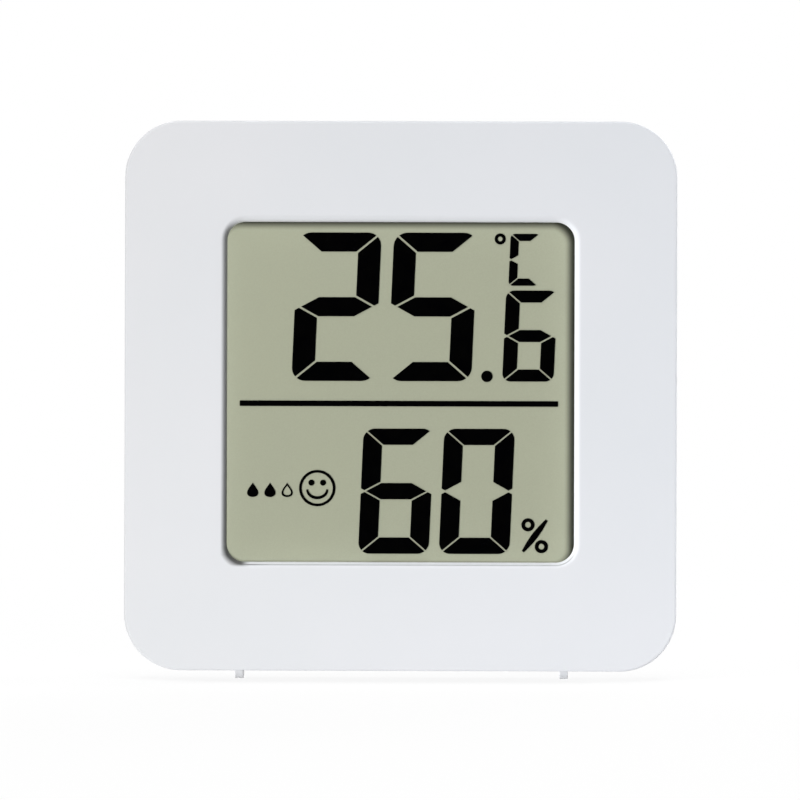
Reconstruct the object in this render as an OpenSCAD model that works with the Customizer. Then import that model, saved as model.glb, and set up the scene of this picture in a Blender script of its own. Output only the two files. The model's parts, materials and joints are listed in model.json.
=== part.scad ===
// Square desk sensor for temperature and humidity, with a reflective display and a fold-out stand.
// Millimetres. X runs to the right, Z up, and the display faces -Y.
// The origin is under the middle of the part, at the level of the stand's two ears.

/* [Case] */
// Width of the case
body_w = 43; // [38.6:0.2:56]
// Height of the case
body_h = 42.8; // [38.4:0.2:56]
// Radius of the case's four corners, seen from the front
corner_r = 4.4; // [4:0.1:6]
// Rounding of the front face's outer edge
edge_r = 0.15; // [0.1:0.05:0.8]
// Rounding of the back face's outer edge
back_edge_r = 1; // [0.4:0.1:1.1]
// Thickness of the side walls
wall = 1.5; // [1.3:0.05:1.6]
// Thickness of the front wall round the display
front_wall = 1.5; // [1.2:0.05:2]
// Thickness of the back wall
back_wall = 1.4; // [1.2:0.05:1.6]
// Groove that shows between front case and rear cover
parting_gap = 0.15; // [0.05:0.05:0.3]
// Depth of the rear cover's lip inside the front case
lip_depth = 1.1; // [0.6:0.1:1.2]
// Thickness of that lip
lip_t = 0.7; // [0.5:0.05:0.9]
// Clearance round the lip and between pieces that fit snugly
fit_gap = 0.1; // [0.05:0.01:0.15]
// How far the stand's ears reach below the case
foot_drop = 1; // [0.7:0.05:1.2]

/* [Display] */
// Front face on each side of the display opening
border_side = 7.97; // [7.2:0.01:10]
// Front face above the opening
border_top = 7.85; // [7:0.05:10]
// Front face below the opening
border_bottom = 8.45; // [7.6:0.05:10]
// Radius of the opening's corners
window_r = 1.44; // [0.6:0.02:3]
// Rounding of the opening's front edge
window_edge_r = 0.5; // [0.2:0.05:0.65]
// Thickness of the front wall's rim in front of the lens
rim_t = 0.8; // [0.7:0.05:1]
// How far lens and glass reach behind the rim on each side
lens_margin = 1.5; // [1:0.1:1.7]
// Thickness of the clear lens
lens_t = 0.7; // [0.5:0.05:1.2]
// Air between lens and polarizer
lens_air = 0.1; // [0.05:0.05:0.3]
// Thickness of the front polarizer
polarizer_t = 0.15; // [0.1:0.01:0.25]
// Thickness of each display glass
glass_t = 0.6; // [0.4:0.05:0.8]
// Thickness of the rear polarizer with its reflector
reflector_t = 0.2; // [0.1:0.01:0.3]
// Height of the front glass's contact edge, below the rear glass
contact_edge = 2.2; // [1.8:0.1:2.3]
// Thickness of the rubber connector
zebra_t = 1.4; // [1:0.1:1.5]
// Room between the display and the board
display_room = 1.55; // [1.2:0.05:2]
// Wall of the display's carrier frame
carrier_wall = 1; // [0.8:0.05:1.1]

/* [Board] */
// Thickness of the circuit board
board_t = 1; // [0.8:0.1:1.6]
// Gap round the board's edge
board_gap = 0.3; // [0.2:0.05:0.5]
// Height of the board's screws above and below the case's middle
post_rise = 12; // [11:0.1:13]
// Radius of the posts under the board
post_r = 1.4; // [1.2:0.05:1.5]
// Radius of the epoxy drop over the controller
blob_r = 3.8; // [3:0.1:4]
// Height of that drop
blob_h = 1.2; // [0.8:0.1:1.4]
// Board below the drop and the chips
blob_margin = 1.4; // [1:0.1:1.6]
// Length of a chip
chip_l = 2; // [1.6:0.1:2.2]
// Width of a chip
chip_w = 1.25; // [0.8:0.05:1.4]
// Height of a resistor chip
resistor_t = 0.55; // [0.4:0.05:0.7]
// Height of a capacitor chip
capacitor_t = 0.9; // [0.6:0.05:1]
// Length of a chip's metal ends
chip_end = 0.35; // [0.2:0.05:0.5]
// Thickness of the metal on a chip's end
chip_skin = 0.04; // [0.02:0.01:0.06]
// Distance from chip to chip
chip_pitch = 2.4; // [2:0.1:2.6]

/* [Battery] */
// Diameter of the coin cell
cell_d = 20; // [18:0.1:20.4]
// Thickness of the coin cell
cell_t = 3.2; // [2:0.1:4]
// Radial room round the cell
cell_gap = 0.2; // [0.1:0.05:0.3]
// Air between board and battery well
well_air = 0.4; // [0.35:0.05:1]
// Thickness of the battery well's floor
well_floor = 0.7; // [0.6:0.05:1]
// Wall outside the door's opening
well_wall = 1.05; // [0.8:0.05:1.2]
// Thickness of the contact springs
spring_t = 0.25; // [0.15:0.01:0.3]
// Thickness of the door's disc
door_t = 1.05; // [0.8:0.05:1.4]
// Radial clearance of the door
door_gap = 0.15; // [0.1:0.01:0.25]
// Clearance of the door's tabs above and below
door_slack = 0.1; // [0.05:0.01:0.15]
// Thickness of the door's tabs
tab_t = 0.5; // [0.4:0.05:0.8]
// Thickness of the ledges that hold the tabs
ledge_t = 0.5; // [0.4:0.05:0.8]
// How far the ledges reach in over the tabs
ledge_reach = 0.85; // [0.6:0.05:1]
// How far the tabs stay inside the disc's edge
tab_inset = 0.1; // [0.05:0.01:0.2]
// Turn from locked to unlocked, in degrees
door_turn = 45; // [40:1:50]
// Width of each tab, in degrees
tab_turn = 30; // [20:1:34]
// Length of the coin slot
slot_l = 12; // [8:0.5:16]
// Width of the coin slot
slot_w = 1.8; // [1.4:0.1:2.4]
// Depth of the coin slot
slot_depth = 0.6; // [0.4:0.05:0.7]
// Back wall between the stand's recess and the door
web = 3; // [2.6:0.1:3.4]
// Room between the battery well and the case's top wall
well_top_gap = 1.3; // [1.1:0.05:1.6]
// Width of the positive contact
clip_w = 4; // [3:0.1:5]
// Length of the positive contact's foot on the board
clip_foot = 1.8; // [1.2:0.1:1.9]
// Length of the negative contact
spring_l = 13; // [10:0.1:15]
// Width of the negative contact
spring_w = 5; // [4:0.1:6]
// Wall of the door's skirt
skirt_t = 1; // [0.8:0.05:1.2]
// Rounding of the door's edge
door_edge = 0.25; // [0.1:0.05:0.4]
// Rounding of the cell's can
can_edge = 0.4; // [0.2:0.05:0.6]
// Size of the marks that show how far the door turns
mark_r = 0.7; // [0.4:0.05:0.8]
// Depth of those marks
mark_depth = 0.25; // [0.15:0.05:0.35]
// Gap between those marks and the door's edge
mark_gap = 0.5; // [0.4:0.05:0.6]
// Step from the can in to the cell's cap
cap_step = 1.2; // [0.8:0.1:1.6]
// Height of the cap above the can
cap_t = 0.5; // [0.3:0.05:0.7]

/* [Stand] */
// Width over the stand's two ears
stand_w = 26.34; // [24:0.1:26.6]
// Thickness of the stand's plate
stand_t = 1.2; // [0.9:0.05:1.4]
// Thickness of the stand's side flanges and ears
flange_t = 0.64; // [0.5:0.02:1]
// Radius of the ears
ear_r = 2; // [1.8:0.05:2.2]
// Radius of the stand's pins
pin_r = 0.5; // [0.4:0.02:0.6]
// Radial clearance of the pins
pin_gap = 0.05; // [0.02:0.01:0.08]
// Length of the pins
pin_len = 0.9; // [0.6:0.05:1.1]
// Clearance round the stand in its recess
stand_gap = 0.25; // [0.2:0.01:0.35]
// How far the stand opens, in degrees
stand_turn = 70; // [50:1:75]
// Radius of the fingernail notch
nail_r = 2.6; // [2:0.1:2.8]
// Walls round the stand's recess
recess_wall = 1.2; // [1:0.05:1.4]
// Reach of the flanges in front of the pins' axis
flange_inner = 0.25; // [0.1:0.05:0.4]
// Height of the stop keys above the pins
key_rise = 0.35; // [0.25:0.01:0.4]

/* [Button] */
// Radius of the unit button
button_r = 1.9; // [1.6:0.05:2.1]
// Clearance round the button
button_gap = 0.1; // [0.05:0.01:0.15]
// How far the button's face lies below the back
button_sink = 0.2; // [0.1:0.05:0.4]
// Travel of the button
button_travel = 0.4; // [0.2:0.05:0.5]
// Thickness of the button's collar
collar_t = 0.6; // [0.5:0.05:0.8]
// How far the collar reaches past the button's edge
collar_reach = 0.4; // [0.3:0.05:0.5]
// Rounding of the button's edge
cap_edge = 0.3; // [0.1:0.05:0.4]
// Radius of the button's stem
stem_r = 1.1; // [0.9:0.05:1.3]
// Radius of the switch's plunger
plunger_r = 1; // [0.8:0.05:1.2]
// Height of the plunger above the switch
plunger_rise = 0.7; // [0.6:0.05:0.9]
// Depth of the plunger inside the switch
plunger_sink = 0.6; // [0.4:0.05:0.8]
// Reach of the switch's solder tabs on each side
switch_tab = 0.8; // [0.5:0.05:0.9]
// Width of those tabs
tab_w = 1; // [0.8:0.05:1.2]
// Height of the switch on the board
switch_t = 1.9; // [1.6:0.1:2.2]
// Width of the switch
switch_w = 4.2; // [3.6:0.1:4.6]

/* [Vents] */
// Number of vent slots
vent_count = 5; // [2:1:6]
// Length of each vent slot
vent_l = 5; // [3:0.1:5.4]
// Height of each vent slot
vent_h = 1.1; // [0.7:0.05:1.4]
// Distance from slot to slot
vent_pitch = 2.4; // [2.1:0.05:2.6]
// Width of the humidity sensor's plate
sensor_w = 4.4; // [3.6:0.1:4.4]
// Height of that plate
sensor_h = 7; // [5:0.1:7.4]
// Thickness of that plate
sensor_t = 0.6; // [0.4:0.05:0.8]
// Height of that plate above the board
sensor_lift = 1.5; // [1:0.1:2]
// Radius of the thermistor's bead
bead_r = 1; // [0.8:0.05:1.2]
// Height of the bead's middle above the board
bead_lift = 1.7; // [1.4:0.1:2]
// Gap between the lowest slot's middle and the bead
bead_gap = 0.6; // [0.4:0.1:1]
// Radius of the sensors' leads
lead_r = 0.22; // [0.15:0.01:0.3]

/* [Screws] */
// Radius of the screw shanks
screw_r = 0.8; // [0.7:0.02:0.9]
// Radius of the case screws' heads
head_r = 1.45; // [1.3:0.05:1.5]
// Radius of the board screws' heads
board_head_r = 1.15; // [1.05:0.05:1.2]
// Height of the screw heads
head_t = 1; // [0.8:0.05:1.1]
// Radius of the front case's corner bosses
boss_r = 1.9; // [1.7:0.05:2]
// Wall of the rear cover's screw columns
column_wall = 0.85; // [0.7:0.05:1]
// Rear cover under the case screws' heads
screw_seat = 1.6; // [1.2:0.1:2]
// Rounding of the screw heads
head_edge = 0.3; // [0.2:0.05:0.4]
// Width of the cross recess's arms
cross_w = 0.35; // [0.25:0.05:0.45]

/* [Hidden] */
$fn = 64;

case_white = "#e6e7eb";
trim_white = "#eeeeec";
clear_lens = [0.85, 0.9, 0.92, 0.35];
display_grey = "#abae99";
glass_grey = "#b9c2b8";
board_green = "#2f6b45";
rubber_black = "#26272a";
steel_grey = "#b4b7bb";
ceramic_white = "#f2efe6";
resistor_black = "#2c2b2b";
capacitor_tan = "#a58a63";

// How far joined features run into each other, and how far cuts run past a face
join = 0.3;
past = 1;

// Depths behind the front face, layer by layer
lens_back = rim_t + lens_t;
polarizer_front = max(front_wall, lens_back) + lens_air;
front_glass_front = polarizer_front + polarizer_t;
rear_glass_front = front_glass_front + glass_t;
reflector_front = rear_glass_front + glass_t;
reflector_back = reflector_front + reflector_t;
board_front = reflector_back + display_room;
board_back = board_front + board_t;
well_front = board_back + well_air;
well_floor_back = well_front + well_floor;
cell_front = well_floor_back + spring_t;
cell_back = cell_front + cell_t;
seat_front = cell_back - door_slack;
tab_front = cell_back + door_slack;
tab_back = tab_front + tab_t;
ledge_front = tab_back + door_slack;
ledge_back = ledge_front + ledge_t;
door_front = ledge_back + door_slack;
door_back = door_front + door_t;
depth = door_back + door_slack;
back_inner = depth - back_wall;
lip_front = board_back + well_air;
parting = lip_front + lip_depth;
cover_front = parting + parting_gap;

// Case
body_mid = foot_drop + body_h / 2;
cavity_w = body_w - 2 * wall;
cavity_h = body_h - 2 * wall;
cavity_r = corner_r - wall;
boss_inset = wall + boss_r - join;
column_r = head_r + fit_gap + column_wall;
pilot_front = board_front;
screw_seat_back = cover_front + screw_seat;

// Display
window_w = body_w - 2 * border_side;
window_h = body_h - border_top - border_bottom;
window_z = foot_drop + border_bottom + window_h / 2;
lens_w = window_w + 2 * lens_margin;
lens_h = window_h + 2 * lens_margin;
front_glass_h = lens_h + contact_edge;
carrier_w = lens_w + 2 * (fit_gap + carrier_wall);
carrier_h = front_glass_h + 2 * (fit_gap + carrier_wall);
carrier_z = window_z - contact_edge / 2;
contact_z = window_z - lens_h / 2 - contact_edge / 2;

// Board
post_x = (carrier_w + cavity_w) / 4;
board_w = cavity_w - 2 * board_gap;
board_h = cavity_h - 2 * board_gap;
blob_z = body_mid - board_h / 2 + blob_margin + blob_r;

// Battery
cell_r = cell_d / 2;
well_r = cell_r + cell_gap;
ledge_r = well_r + 2 * door_gap;
opening_r = ledge_r + ledge_reach;
door_r = opening_r - door_gap;
tab_r = door_r - tab_inset;
groove_r = tab_r + door_gap;
skirt_r = ledge_r - door_gap;
well_outer_r = opening_r + well_wall;
door_z = foot_drop + body_h - wall - well_top_gap - well_outer_r;
turn_slack = 3;
tab_count = 3;
clip_y = cell_r + fit_gap / 2;

// Stand
hinge_d = depth - door_slack - ear_r;
hinge_z = ear_r;
recess_w = stand_w + 2 * stand_gap;
recess_top = door_z - opening_r - web;
stand_len = recess_top - stand_gap - hinge_z;
recess_d = hinge_d - flange_inner - stand_gap;
pocket_r = ear_r + stand_gap;
roll_drop = ear_r - foot_drop - stand_gap;
roll_turn = asin(roll_drop / ear_r);
key_r = pin_r + key_rise;
key_turn = 24;
key_slack = 2;
key_at = 90 + stand_turn / 2;

// Button and sensors, in the strips on each side of the battery well
strip_x = (well_outer_r + cavity_w / 2 - fit_gap - lip_t) / 2;
button_x = -strip_x;
sensor_x = strip_x;
collar_r = button_r + collar_reach;
collar_back = back_inner - button_gap;
collar_front = collar_back - collar_t;
switch_back = board_back + switch_t;
plunger_back = switch_back + plunger_rise;
plunger_front = switch_back - plunger_sink;

// Local height of a depth behind the front face
function level(d) = depth / 2 - d;

// Turns what is drawn flat, front face up, so that the front faces -Y
module upright() rotate([90, 0, 0]) children();

// A flat outline between two depths behind the front face
module slab(d0, d1) translate([0, 0, level(d1)]) linear_extrude(d1 - d0) children();

// A side outline, drawn as depth and height, from one X to another
module across(x0, x1)
  translate([x0, 0, level(0)]) rotate([0, 90, 0]) linear_extrude(x1 - x0) children();

module rounded_rect(w, h, r) {
  square([w, h - 2 * r], center = true);
  square([w - 2 * r, h], center = true);
  for (sx = [-1, 1], sy = [-1, 1])
    translate([sx * (w / 2 - r), sy * (h / 2 - r)]) circle(r);
}

module stadium(l, h) {
  square([l - h, h], center = true);
  for (side = [-1, 1]) translate([side * (l - h) / 2, 0]) circle(h / 2);
}

module ring(r_out, r_in) difference() {
  circle(r_out);
  circle(r_in);
}

// A pie slice of a circle
module slice(r, a0, a1) {
  steps = 6;
  rim_points = [for (i = [0 : steps]) let (a = a0 + (a1 - a0) * i / steps) 2 * r * [cos(a), sin(a)]];
  intersection() {
    circle(r);
    polygon(concat([[0, 0]], rim_points));
  }
}

// Sweeps a profile round a rounded rectangle: profile x is the distance from the corner centres
module rim(w, h, r) {
  for (side = [0 : 3]) {
    along = side % 2 == 0 ? h : w;
    across_side = side % 2 == 0 ? w : h;
    rotate([0, 0, 90 * side]) translate([across_side / 2 - r, along / 2 - r, 0]) {
      rotate([90, 0, 0]) linear_extrude(along - 2 * r) children();
      rotate_extrude(angle = 90) children();
    }
  }
}

// A block with rounded corners and a rounded top edge
module soft_block(w, h, r, edge, height) {
  rim(w, h, r) soft_side(r, edge, height);
  translate([r - w / 2, r - h / 2, 0]) cube([w - 2 * r, h - 2 * r, height]);
}

module soft_side(r, edge, height) {
  square([r - edge, height]);
  square([r, height - edge]);
  translate([r - edge, height - edge]) circle(edge);
}

// A disc with a rounded top edge
module soft_disc(r, edge, height) rotate_extrude() soft_side(r, edge, height);

module corner_places()
  for (sx = [-1, 1], sy = [-1, 1])
    translate([sx * (body_w / 2 - boss_inset), body_mid + sy * (body_h / 2 - boss_inset), 0])
      children();

module board_places()
  for (sx = [-1, 1], sy = [-1, 1])
    translate([sx * post_x, body_mid + sy * post_rise, 0]) children();

module door_place() translate([0, door_z, 0]) children();

module button_place() translate([button_x, door_z, 0]) children();

// Front case: shell, rebate for the lens, bosses for the case screws and posts for the board
module front_case() color(case_white) upright() difference() {
  union() {
    front_shell();
    corner_places() slab(front_wall - join, cover_front) circle(boss_r);
    board_places() slab(front_wall - join, board_front) circle(post_r);
  }
  corner_places() slab(pilot_front - past, cover_front + past) circle(screw_r);
  board_places() slab(front_wall, board_front + past) circle(screw_r);
}

module front_shell() difference() {
  translate([0, body_mid, level(parting)]) soft_block(body_w, body_h, corner_r, edge_r, parting);
  translate([0, body_mid, 0]) slab(front_wall, parting + past) rounded_rect(cavity_w, cavity_h, cavity_r);
  translate([0, window_z, 0]) display_opening();
}

module display_opening() {
  slab(-past, front_wall) rounded_rect(window_w, window_h, window_r);
  slab(rim_t, front_wall + past) square([lens_w, lens_h] + 2 * fit_gap * [1, 1], center = true);
  rim(window_w, window_h, window_r) difference() {
    translate([window_r - join, level(window_edge_r)]) square([window_edge_r + join, window_edge_r + past]);
    translate([window_r + window_edge_r, level(window_edge_r)]) circle(window_edge_r);
  }
}

// Rear cover: shell, locating lip, screw columns, battery well, stand recess and openings
module rear_cover() color(case_white) upright() difference() {
  union() {
    cover_shell();
    cover_lip();
    corner_places() slab(cover_front, back_inner + join) circle(column_r);
    door_place() slab(well_front, back_inner + join) circle(well_outer_r);
    recess_walls();
  }
  door_place() well_cuts();
  recess_cuts();
  corner_places() slab(cover_front - past, depth) circle(screw_r + fit_gap);
  corner_places() slab(screw_seat_back, depth + past) circle(head_r + fit_gap);
  button_place() slab(back_inner - past, depth + past) circle(button_r + button_gap);
  vent_slots();
  door_place() slab(depth - mark_depth, depth + past) cover_marks();
}

// A triangle at the locked place and a dot at the unlocked one
module cover_marks() {
  mark_at = opening_r + mark_gap + mark_r;
  translate([0, mark_at]) mirror([0, 1]) pointer();
  rotate(-door_turn) translate([0, mark_at]) circle(mark_r / 2);
}

module pointer() polygon(mark_r * [[-sin(60), -cos(60)], [sin(60), -cos(60)], [0, 1]]);

module cover_shell() difference() {
  translate([0, body_mid, level(cover_front)]) mirror([0, 0, 1])
    soft_block(body_w, body_h, corner_r, back_edge_r, depth - cover_front);
  translate([0, body_mid, 0])
    slab(cover_front - past, back_inner) rounded_rect(cavity_w, cavity_h, cavity_r);
}

// The lip is cut away round the bosses and the board screws
module cover_lip() {
  inset = fit_gap + lip_t;
  difference() {
    translate([0, body_mid, 0]) {
      slab(lip_front, cover_front + join) lip_ring(fit_gap, inset);
      slab(cover_front, cover_front + lip_t) lip_ring(-join, inset);
    }
    corner_places() slab(lip_front - past, cover_front) circle(boss_r + fit_gap);
    board_places() slab(lip_front - past, cover_front) circle(board_head_r + board_gap);
  }
}

module lip_ring(outside, inside) difference() {
  rounded_rect(cavity_w - 2 * outside, cavity_h - 2 * outside, cavity_r - outside);
  rounded_rect(cavity_w - 2 * inside, cavity_h - 2 * inside, cavity_r - inside);
}

// Walls round the stand's recess, with thicker blocks for the ears and pins
module recess_walls() {
  ear_in = stand_w / 2 - flange_t - stand_gap - recess_wall;
  ear_out = recess_w / 2 + pin_len + recess_wall;
  block_top = hinge_z + pocket_r + recess_wall;
  bottom = foot_drop + join;
  top = recess_top + recess_wall;
  slab(recess_d - recess_wall, back_inner + join)
    translate([-recess_w / 2 - recess_wall, bottom]) square([recess_w + 2 * recess_wall, top - bottom]);
  for (side = [0, 1]) mirror([side, 0, 0])
    slab(cover_front, back_inner + join)
      translate([ear_in, bottom]) square([ear_out - ear_in, block_top - bottom]);
}

module recess_cuts() {
  slab(recess_d, depth + past)
    translate([-recess_w / 2, -past]) square([recess_w, recess_top + past]);
  translate([0, recess_top, 0]) slab(depth - stand_t - stand_gap, depth + past) circle(nail_r);
  for (side = [0, 1]) mirror([side, 0, 0]) {
    across(stand_w / 2 - flange_t - stand_gap, recess_w / 2) hinge_round(pocket_r);
    across(recess_w / 2 - join, recess_w / 2 + pin_len) hinge_round(pin_r + pin_gap);
    across(recess_w / 2 - join, recess_w / 2 + pin_len) translate([hinge_d, hinge_z])
      slice(key_r + pin_gap, key_at - stand_turn - key_turn / 2 - key_slack, key_at + key_turn / 2 + key_slack);
  }
}

module hinge_round(r) translate([hinge_d, hinge_z]) circle(r);

// Battery well: cell bore, door seat, tab grooves with their stops, tab entries and contact slots
module well_cuts() {
  half = tab_turn / 2 + turn_slack;
  slab(well_floor_back, depth) circle(well_r);
  slab(seat_front, depth) circle(ledge_r);
  slab(ledge_back, depth + past) circle(opening_r);
  for (i = [0 : tab_count - 1]) rotate([0, 0, 360 / tab_count * i]) {
    slab(cell_back, ledge_front) slice(groove_r, -door_turn - half, half);
    slab(ledge_front, ledge_back + join) slice(groove_r, -door_turn - half, half - door_turn);
  }
  translate([-clip_w / 2 - cell_gap, clip_y - cell_gap, 0])
    slab(well_front - past, tab_front) square([clip_w, spring_t] + 2 * cell_gap * [1, 1]);
  translate([spring_l / 2 - spring_t - cell_gap, -spring_w / 2 - cell_gap, 0])
    slab(well_front - past, well_floor_back + past) square([spring_t, spring_w] + 2 * cell_gap * [1, 1]);
}

module vent_slots()
  for (i = [0 : vent_count - 1])
    translate([sensor_x, door_z + (i - (vent_count - 1) / 2) * vent_pitch, 0])
      slab(back_inner - past, depth + past) stadium(vent_l, vent_h);

// Display stack, front to back
module display_window() color(clear_lens) upright()
  translate([0, window_z, 0]) slab(rim_t, lens_back) square([lens_w, lens_h], center = true);

module front_polarizer() color(display_grey) upright()
  translate([0, window_z, 0]) slab(polarizer_front, front_glass_front)
    square([lens_w, lens_h] - 2 * fit_gap * [1, 1], center = true);

module lcd_front_glass() color(glass_grey) upright()
  translate([0, carrier_z, 0]) slab(front_glass_front, rear_glass_front)
    square([lens_w, front_glass_h], center = true);

module lcd_rear_glass() color(glass_grey) upright()
  translate([0, window_z, 0]) slab(rear_glass_front, reflector_front)
    square([lens_w, lens_h], center = true);

module rear_reflector() color(display_grey) upright()
  translate([0, window_z, 0]) slab(reflector_front, reflector_back)
    square([lens_w, lens_h] - 2 * fit_gap * [1, 1], center = true);

// Carrier that boxes in the glass and has a slot for the rubber connector
module lcd_frame() color(trim_white) upright() difference() {
  translate([0, carrier_z, 0])
    slab(front_glass_front, board_front) square([carrier_w, carrier_h], center = true);
  translate([0, carrier_z, 0]) slab(front_glass_front - past, rear_glass_front + join)
    square([carrier_w, carrier_h] - 2 * carrier_wall * [1, 1], center = true);
  translate([0, window_z, 0]) {
    slab(front_glass_front, reflector_back) square([lens_w, lens_h] + 2 * fit_gap * [1, 1], center = true);
    slab(front_glass_front, board_front + past) square([window_w, window_h], center = true);
  }
  translate([0, contact_z, 0]) slab(front_glass_front, board_front + past)
    square([window_w, zebra_t] + 2 * fit_gap * [1, 1], center = true);
}

module zebra_strip() color(rubber_black) upright()
  translate([0, contact_z, 0]) slab(rear_glass_front, board_front) square([window_w, zebra_t], center = true);

// Board and the parts on it
module circuit_board() color(board_green) upright() difference() {
  translate([0, body_mid, 0])
    slab(board_front, board_back) rounded_rect(board_w, board_h, cavity_r - board_gap);
  corner_places() slab(board_front - past, board_back + past) circle(boss_r + board_gap);
  board_places() slab(board_front - past, board_back + past) circle(screw_r + fit_gap);
}

module controller_blob() color(rubber_black) upright() {
  ball_r = (blob_r * blob_r + blob_h * blob_h) / (2 * blob_h);
  intersection() {
    translate([0, blob_z, level(board_back + blob_h - ball_r)]) sphere(ball_r);
    translate([0, blob_z, 0]) slab(board_back, board_back + ball_r) square(2 * ball_r, center = true);
  }
}

// Ceramic plate on two bent-up leads
module humidity_sensor() color(ceramic_white) upright() translate([sensor_x, door_z, 0]) {
  plate_front = board_back + sensor_lift;
  slab(plate_front, plate_front + sensor_t) square([sensor_w, sensor_h], center = true);
  for (side = [-1, 1]) translate([side * sensor_w / 4, -sensor_h / 2 + 2 * lead_r, 0])
    slab(board_back, plate_front + sensor_t / 2) circle(lead_r);
}

module thermistor() color(rubber_black) upright() {
  bead_z = door_z - vent_pitch * (vent_count - 1) / 2 - bead_gap - bead_r;
  translate([sensor_x, bead_z, 0]) {
    translate([0, 0, level(board_back + bead_lift)]) sphere(bead_r);
    for (side = [-1, 1]) translate([side * bead_r / 2, 0, 0])
      slab(board_back, board_back + bead_lift) circle(lead_r);
  }
}

// A chip with its two metal ends
module chip(t) {
  slab(board_back, board_back + t - chip_skin)
    square([chip_l - chip_skin, chip_w - 2 * chip_skin], center = true);
  for (side = [-1, 1]) translate([side * (chip_l - chip_end) / 2, 0, 0])
    slab(board_back, board_back + t) square([chip_end, chip_w], center = true);
}

module chip_row(side, count, t)
  for (i = [0 : count - 1])
    translate([side * stand_w / 3, blob_z + (i - (count - 1) / 2) * chip_pitch, 0]) chip(t);

module chip_resistors() color(resistor_black) upright() chip_row(-1, 4, resistor_t);

module chip_capacitors() color(capacitor_tan) upright() chip_row(1, 3, capacitor_t);

// Tact switch and its plunger, which the button's stem rests on
module unit_switch() color(rubber_black) upright() button_place() difference() {
  union() {
    slab(board_back, switch_back) square(switch_w, center = true);
    slab(board_back, board_back + spring_t) stadium(switch_w + 2 * switch_tab, tab_w);
  }
  slab(plunger_front - button_travel - fit_gap, switch_back + past) circle(plunger_r + pin_gap);
}

module switch_plunger() color(trim_white) upright() button_place()
  slab(plunger_front, plunger_back) circle(plunger_r);

// Button: cap in the back wall, collar behind it and stem down to the plunger
module unit_button() color(trim_white) upright() button_place() {
  translate([0, 0, level(collar_back - join)]) mirror([0, 0, 1])
    soft_disc(button_r, cap_edge, depth - button_sink - collar_back + join);
  slab(collar_front, collar_back) circle(collar_r);
  slab(plunger_back, collar_front + join) circle(stem_r);
}

// Cell: steel can with a smaller cap on the side that faces the board
module coin_cell() color(steel_grey) upright() door_place() {
  slab(cell_front, cell_front + cap_t + join) circle(cell_r - cap_step);
  translate([0, 0, level(cell_front + cap_t)]) mirror([0, 0, 1])
    soft_disc(cell_r, can_edge, cell_t - cap_t);
}

// Strip up the side of the well against the can, with a foot on the board
module cell_positive_clip() color(steel_grey) upright() door_place() translate([-clip_w / 2, clip_y, 0]) {
  slab(board_back, cell_back - fit_gap) square([clip_w, spring_t]);
  slab(board_back, board_back + spring_t) square([clip_w, clip_foot + spring_t]);
}

// Flat spring under the cell, cut into two fingers, with a tail through the floor to the board
module cell_negative_spring() color(steel_grey) upright() door_place() {
  finger_w = spring_w / 3;
  slab(well_floor_back, cell_front) difference() {
    square([spring_l, spring_w], center = true);
    translate([-spring_l / 6, 0]) square([spring_l * 2 / 3 + past, finger_w], center = true);
  }
  slab(board_back, cell_front) translate([spring_l / 2 - spring_t, -spring_w / 2]) square([spring_t, spring_w]);
}

// Door: disc with a coin slot and a mark, a skirt and three tabs that turn under the ledges
module battery_door() color(case_white) upright() door_place() difference() {
  union() {
    translate([0, 0, level(door_front)]) mirror([0, 0, 1]) soft_disc(door_r, door_edge, door_t);
    slab(tab_front, door_front + join) ring(skirt_r, skirt_r - skirt_t);
    for (i = [0 : tab_count - 1]) rotate([0, 0, 360 / tab_count * i])
      slab(tab_front, tab_back) difference() {
        slice(tab_r, -tab_turn / 2, tab_turn / 2);
        circle(skirt_r - skirt_t / 2);
      }
  }
  slab(door_back - slot_depth, depth + past) stadium(slot_l, slot_w);
  slab(door_back - mark_depth, depth + past) translate([0, door_r - mark_gap - mark_r]) pointer();
}

// Stand: plate with a rolled lower edge, side flanges that end in ears, pins and their stop keys
module stand() color(case_white) upright() {
  across(-stand_w / 2, stand_w / 2) stand_side();
  for (side = [0, 1]) mirror([side, 0, 0]) {
    across(stand_w / 2 - flange_t, stand_w / 2) flange_side();
    across(stand_w / 2 - flange_t, stand_w / 2 + stand_gap + pin_len - fit_gap) hinge_round(pin_r);
    across(recess_w / 2 + fit_gap, stand_w / 2 + stand_gap + pin_len - fit_gap) translate([hinge_d, hinge_z])
      slice(key_r, key_at - key_turn / 2, key_at + key_turn / 2);
  }
}

module stand_side() translate([hinge_d, hinge_z]) {
  translate([ear_r - stand_t, 0]) square([stand_t, stand_len]);
  difference() {
    slice(ear_r, -roll_turn, 0);
    circle(ear_r - stand_t);
  }
}

module flange_side() {
  hinge_round(ear_r);
  translate([hinge_d, hinge_z]) polygon([
    [-flange_inner, 0], [ear_r, 0], [ear_r, stand_len], [ear_r - stand_t, stand_len],
    [-flange_inner, stand_len * 3 / 4]
  ]);
}

// A pan-head screw along the depth, its head's seat at the given depth and its point towards the front
module screw(seat, point, r_head) {
  cross_l = r_head * 1.2;
  cross_depth = head_t / 2;
  slab(point, seat + join) circle(screw_r);
  difference() {
    translate([0, 0, level(seat)]) mirror([0, 0, 1]) soft_disc(r_head, head_edge, head_t);
    slab(seat + head_t - cross_depth, seat + head_t + past) {
      square([cross_l, cross_w], center = true);
      square([cross_w, cross_l], center = true);
    }
  }
}

module case_screws() color(steel_grey) upright()
  corner_places() screw(screw_seat_back, pilot_front, head_r);

module board_screws() color(steel_grey) upright()
  board_places() screw(board_back, front_wall + join, board_head_r);

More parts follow.
